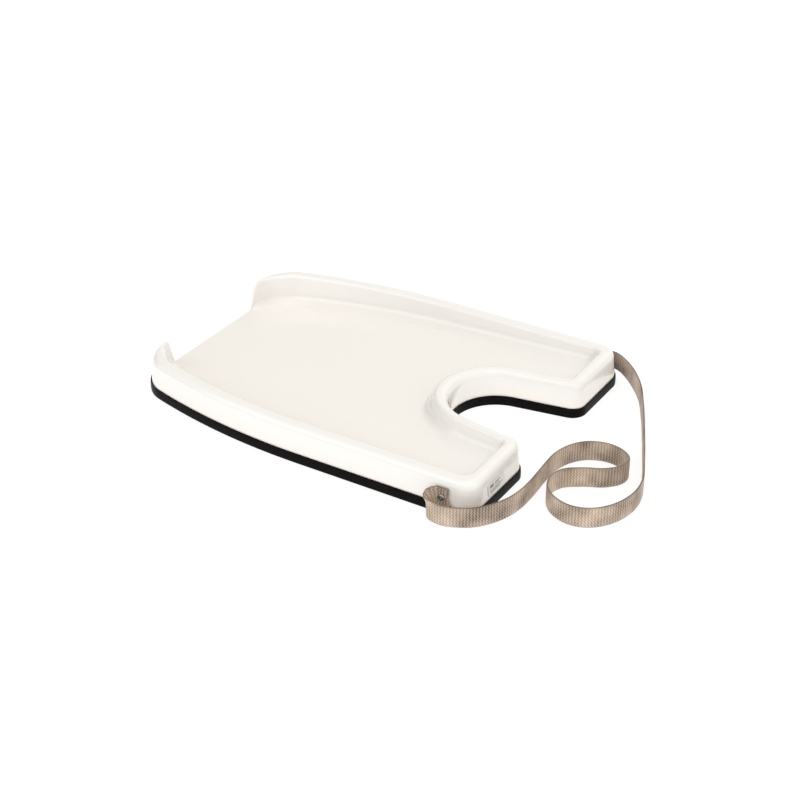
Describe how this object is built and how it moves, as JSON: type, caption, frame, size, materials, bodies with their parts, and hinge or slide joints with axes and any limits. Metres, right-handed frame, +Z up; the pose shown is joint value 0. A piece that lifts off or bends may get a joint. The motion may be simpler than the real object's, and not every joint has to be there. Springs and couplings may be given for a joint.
{
  "type": "hair rinsing tray",
  "caption": "Shallow plastic rinsing tray with a U-shaped neck cut-out, an open draining spout, rubber edge trim and a webbing strap.",
  "frame": {"origin": "middle of the tray's footprint, on the surface that its rubber trim stands on", "axes": "+X towards the neck cut-out, -X towards the spout, +Y towards the left side of a person whose neck is in the cut-out and who faces +X, +Z up"},
  "size_m": [0.6091, 0.3829, 0.0435],
  "materials": {
    "shell_plastic": "glossy ivory white",
    "trim_rubber": "satin black",
    "strap_webbing": "ribbed beige webbing",
    "rivet_metal": "plain bright",
    "pin_metal": "plain",
    "washer_metal": "plain",
    "label_film": "matt white"
  },
  "bodies": {
    "root": {"tray_shell": "shell_plastic", "edge_trim": "trim_rubber", "tie_strap": "strap_webbing", "right_rivet": "rivet_metal", "left_rivet": "rivet_metal", "right_rivet_pin": "pin_metal", "left_rivet_pin": "pin_metal", "right_backing_washer": "washer_metal", "left_backing_washer": "washer_metal", "info_label": "label_film"}
  },
  "joints": []
}
